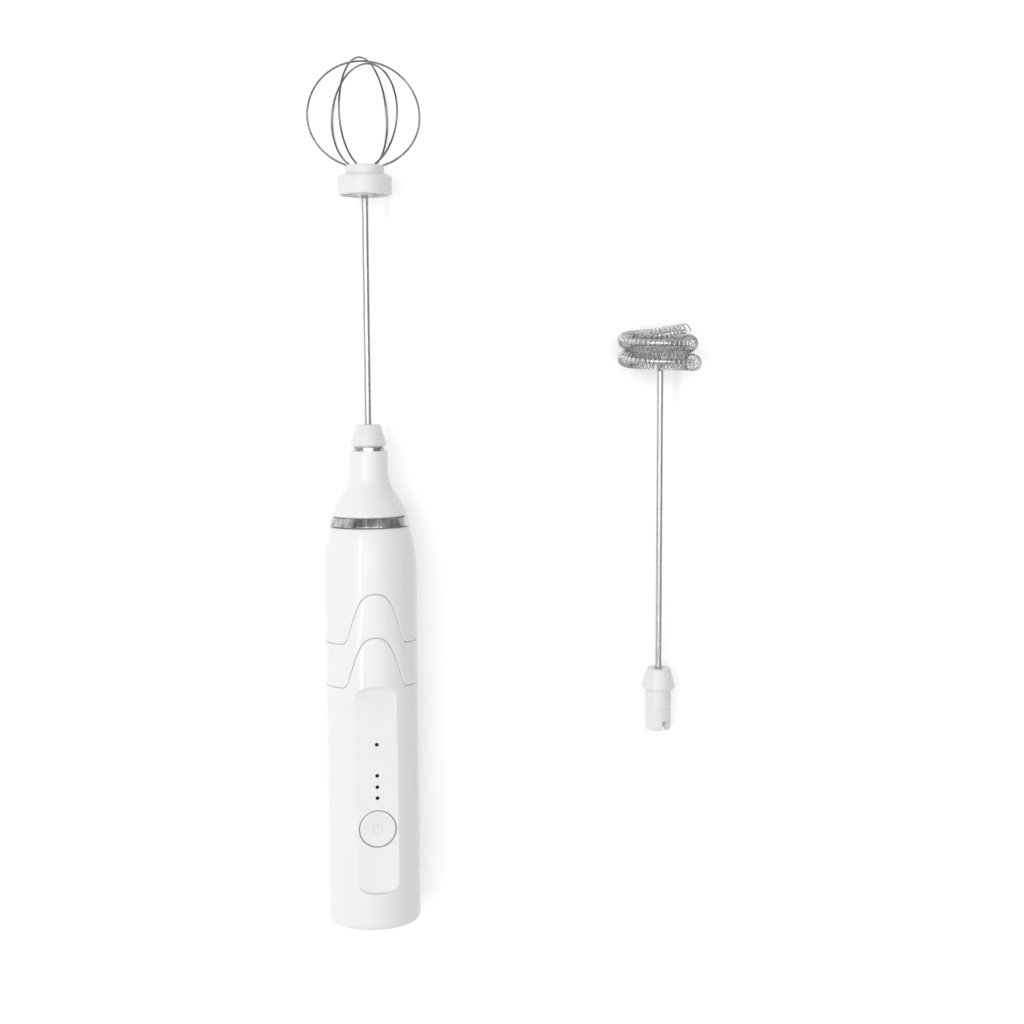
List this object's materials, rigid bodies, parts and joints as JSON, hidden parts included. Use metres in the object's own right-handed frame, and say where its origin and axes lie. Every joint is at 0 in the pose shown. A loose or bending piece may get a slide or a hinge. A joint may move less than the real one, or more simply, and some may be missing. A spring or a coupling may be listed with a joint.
{
  "type": "milk frother",
  "caption": "White rechargeable hand-held milk frother lying flat: push-in balloon whisk, wavy-seamed handle, flat button panel, and a double spring whisk head beside it.",
  "frame": {"origin": "centre of the handle's flat base face, on the handle's long axis", "axes": "+Y along the handle from its base to the whisk, +Z out of the button panel, up from the surface the part lies on, +X towards the second head lying beside the handle"},
  "size_m": [0.1164, 0.2496, 0.027],
  "materials": {
    "white_gloss": "polished white ABS",
    "white_button": "satin-gloss white ABS",
    "white_part": "moulded white POM, soft gloss",
    "chrome_trim": "bright plated",
    "stainless": "drawn stainless wire and rod",
    "bright_steel": "plain bright steel",
    "smoky_guide": "smoke-tinted light guide",
    "frame_grey": "matte moulded",
    "board_green": "solder-masked board",
    "chip_black": "matte black moulding",
    "led_cream": "cream LED body",
    "cell_blue": "shrink-wrap sleeve",
    "brass": "stamped or turned brass",
    "magnet_grey": "ferrite and laminated steel",
    "copper": "enamelled copper",
    "seal_rubber": "matte nitrile",
    "lead_red": "PVC insulation",
    "lead_black": "PVC insulation"
  },
  "bodies": {
    "handle": {"lower_shell": "white_gloss", "wave_band": "white_gloss", "upper_shell": "white_gloss", "joint_sleeve": "frame_grey", "trim_ring": "chrome_trim", "nose_cone": "white_gloss", "nose_ferrule": "chrome_trim", "switch_body": "bright_steel", "charge_light_guide": "smoky_guide", "speed_light_guide_1": "smoky_guide", "speed_light_guide_2": "smoky_guide", "speed_light_guide_3": "smoky_guide", "charge_led": "led_cream", "speed_leds": "led_cream", "usb_socket_shell": "bright_steel", "usb_socket_tongue": "chip_black", "circuit_board": "board_green", "controller_chip": "chip_black", "charger_chip": "chip_black", "board_screw_1": "bright_steel", "board_screw_2": "bright_steel", "battery_cell": "cell_blue", "cell_contact_front": "brass", "cell_contact_rear": "brass", "chassis": "frame_grey", "motor_can": "bright_steel", "motor_end_bell": "frame_grey", "motor_terminal_left": "brass", "motor_terminal_right": "brass", "motor_bush_rear": "brass", "motor_bush_front": "brass", "magnet_front": "magnet_grey", "magnet_back": "magnet_grey", "brush_left": "copper", "brush_right": "copper", "motor_mount": "frame_grey", "motor_screw_1": "bright_steel", "motor_screw_2": "bright_steel", "shaft_seal": "seal_rubber", "motor_lead_red": "lead_red", "motor_lead_black": "lead_black"},
    "button": {"button_cap": "white_button", "switch_plunger": "chip_black"},
    "drive": {"drive_shaft": "bright_steel", "drive_dog": "brass", "cross_pin": "bright_steel", "rotor_core": "magnet_grey", "rotor_winding_1": "copper", "rotor_winding_2": "copper", "rotor_winding_3": "copper", "commutator": "copper"},
    "whisk": {"whisk_plug": "white_part", "whisk_shaft": "stainless", "whisk_hub": "white_part", "whisk_loop_wide": "stainless", "whisk_loop_left": "stainless", "whisk_loop_right": "stainless"},
    "spring_head": {"spring_plug": "white_part", "spring_stem": "stainless", "spring_coil": "stainless"}
  },
  "joints": [
    {"name": "button_press", "type": "slide", "parent": "handle", "child": "button", "axis": [0, 0, -1], "range_m": [0, 0.0006], "stiffness_N_per_m": 2500},
    {"name": "whisk_spin", "type": "hinge", "parent": "handle", "child": "drive", "pos_m": [0, 0.127, 0], "axis": [0, 1, 0], "continuous": true},
    {"name": "whisk_pull", "type": "slide", "parent": "drive", "child": "whisk", "axis": [0, 1, 0], "range_m": [0, 0.02]},
    {"name": "spring_head_lift", "type": "slide", "parent": "handle", "child": "spring_head", "axis": [0, 0, 1], "range_m": [0, 0.05]}
  ]
}
